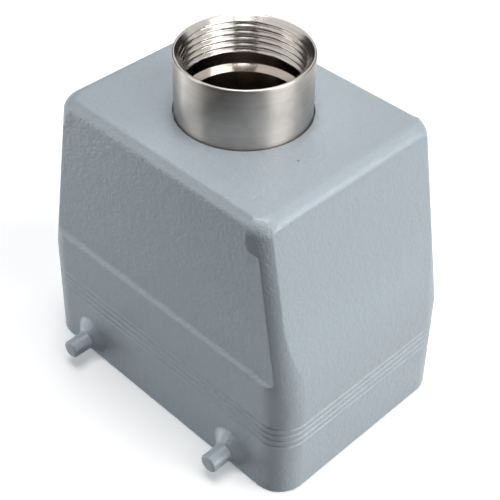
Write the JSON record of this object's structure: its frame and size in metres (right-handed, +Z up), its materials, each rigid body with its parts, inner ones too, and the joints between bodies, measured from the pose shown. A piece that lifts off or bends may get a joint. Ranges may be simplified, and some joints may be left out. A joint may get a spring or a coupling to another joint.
{
  "type": "top-entry hood of a rectangular power connector",
  "caption": "Tapered cast connector hood with side locking pegs and a threaded round cable entry on top, holding two pin inserts in its open underside.",
  "frame": {"origin": "centre of the open rim, on the plane of the rim face", "axes": "+Z up to the cable entry, X along the long side, Y across the short side towards the back pair of pegs"},
  "size_m": [0.083, 0.0712, 0.0897],
  "materials": {
    "painted_casting": "fine orange-peel powder coat, light blue-grey",
    "plated_brass": "nickel plate over fine turning lines",
    "seal_rubber": "matt black",
    "bright_steel": "zinc plated",
    "insert_plastic": "light grey glass-filled moulding",
    "contact_metal": "silver plated",
    "earth_brass": "bright brass"
  },
  "bodies": {
    "root": {"hood": "painted_casting", "entry_bush": "plated_brass", "entry_gasket": "seal_rubber", "entry_washer": "bright_steel", "entry_lock_nut": "plated_brass", "insert_a": "insert_plastic", "insert_b": "insert_plastic", "contacts_a": "contact_metal", "contacts_b": "contact_metal", "terminal_screws_a": "bright_steel", "terminal_screws_b": "bright_steel", "wire_guards_a": "bright_steel", "wire_guards_b": "bright_steel", "earth_terminal_a_left": "earth_brass", "earth_terminal_a_right": "earth_brass", "earth_terminal_b_left": "earth_brass", "earth_terminal_b_right": "earth_brass", "earth_clamp_plates": "bright_steel", "earth_screws": "bright_steel", "fixing_screws": "bright_steel", "spring_washers": "bright_steel"}
  },
  "joints": []
}
